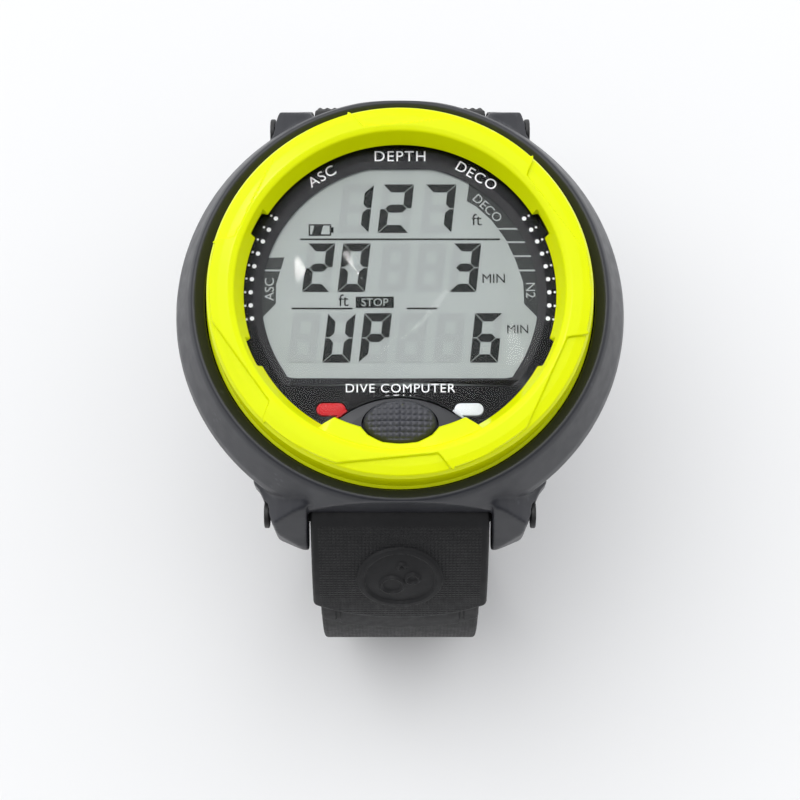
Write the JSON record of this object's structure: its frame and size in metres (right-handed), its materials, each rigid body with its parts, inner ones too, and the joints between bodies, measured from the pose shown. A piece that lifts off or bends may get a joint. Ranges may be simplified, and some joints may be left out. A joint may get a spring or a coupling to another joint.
{
  "type": "dive computer",
  "caption": "Round wrist dive computer with a raised bezel, a segment display behind a flat lens, one press button, a battery door and a two-piece rubber strap with a pin buckle.",
  "frame": {"origin": "centre of the case's flat rear face, on the battery door", "axes": "+Z leaves the display towards the reader, +Y points at twelve o'clock on the dial, +X at three o'clock"},
  "size_m": [0.075, 0.094, 0.0744],
  "materials": {
    "case_plastic": "fine satin moulded charcoal plastic",
    "bezel_plastic": "glossy fluorescent yellow moulded plastic",
    "lens_glass": "clear polished",
    "seal_rubber": "smooth matt seal rubber",
    "dial_print": "black print with white markings",
    "red_plastic": "translucent red light pipe",
    "white_plastic": "translucent white light pipe",
    "display": "grey-green reflective segment display",
    "inner_plastic": "plain moulded black",
    "diffuser": "milky diffusing sheet",
    "board": "green solder mask",
    "brass": "plated",
    "steel": "brushed stainless",
    "battery_steel": "satin nickel plate",
    "button_plastic": "knurled satin charcoal plastic",
    "strap_rubber": "matt black moulded rubber with a fine grid texture",
    "buckle_steel": "brushed stainless steel"
  },
  "bodies": {
    "case": {"front_case": "case_plastic", "bezel": "bezel_plastic", "lens": "lens_glass", "lens_gasket": "seal_rubber", "dial_mask": "dial_print", "alarm_light": "red_plastic", "status_light": "white_plastic", "lcd_panel": "display", "lcd_holder": "inner_plastic", "backlight_diffuser": "diffuser", "contact_strip_left": "seal_rubber", "contact_strip_right": "seal_rubber", "circuit_board": "board", "controller_chip": "inner_plastic", "alarm_buzzer": "brass", "button_switch": "steel", "pressure_sensor": "steel", "pressure_sensor_seal": "seal_rubber", "button_spring": "steel", "button_seal": "seal_rubber", "rear_cover": "case_plastic", "rear_cover_gasket": "seal_rubber", "battery": "battery_steel", "battery_contact_left": "brass", "battery_contact_right": "brass", "water_contact_left": "steel", "water_contact_right": "steel", "lower_strap_pin": "steel", "upper_strap_pin": "steel", "rear_cover_screw_1": "steel", "rear_cover_screw_2": "steel", "rear_cover_screw_3": "steel", "rear_cover_screw_4": "steel"},
    "mode_button": {"mode_button": "button_plastic", "button_plunger": "steel", "button_clip": "steel"},
    "battery_door": {"battery_door": "case_plastic", "battery_door_seal": "seal_rubber"},
    "lower_strap": {"lower_strap": "strap_rubber"},
    "upper_strap": {"upper_strap": "strap_rubber", "fixed_keeper": "strap_rubber", "buckle_pin": "steel"},
    "sliding_keeper": {"sliding_keeper": "strap_rubber"},
    "buckle_frame": {"buckle_frame": "buckle_steel"},
    "buckle_tongue": {"buckle_tongue": "buckle_steel"}
  },
  "joints": [
    {"name": "mode_button_press", "type": "slide", "parent": "case", "child": "mode_button", "axis": [0, 0, -1], "range_m": [0, 0.0012], "stiffness_N_per_m": 1500, "springref_m": -0.0004, "deforming": ["button_spring"]},
    {"name": "battery_door_turn", "type": "hinge", "parent": "case", "child": "battery_door", "pos_m": [0, 0, 0], "axis": [0, 0, -1], "range_deg": [0, 60]},
    {"name": "lower_strap_swing", "type": "hinge", "parent": "case", "child": "lower_strap", "pos_m": [0, -0.0336, 0.0022], "axis": [1, 0, 0], "range_deg": [-40, 0]},
    {"name": "upper_strap_swing", "type": "hinge", "parent": "case", "child": "upper_strap", "pos_m": [0, 0.0336, 0.0022], "axis": [1, 0, 0], "range_deg": [0, 50]},
    {"name": "keeper_slide", "type": "slide", "parent": "upper_strap", "child": "sliding_keeper", "axis": [0, 0, -1], "range_m": [-0.0035, 0.0025]},
    {"name": "buckle_swing", "type": "hinge", "parent": "upper_strap", "child": "buckle_frame", "pos_m": [0, 0.03753, -0.03246], "axis": [1, 0, 0], "range_deg": [-80, 40]},
    {"name": "tongue_swing", "type": "hinge", "parent": "buckle_frame", "child": "buckle_tongue", "pos_m": [0, 0.03753, -0.03246], "axis": [1, 0, 0], "range_deg": [0, 60]}
  ]
}
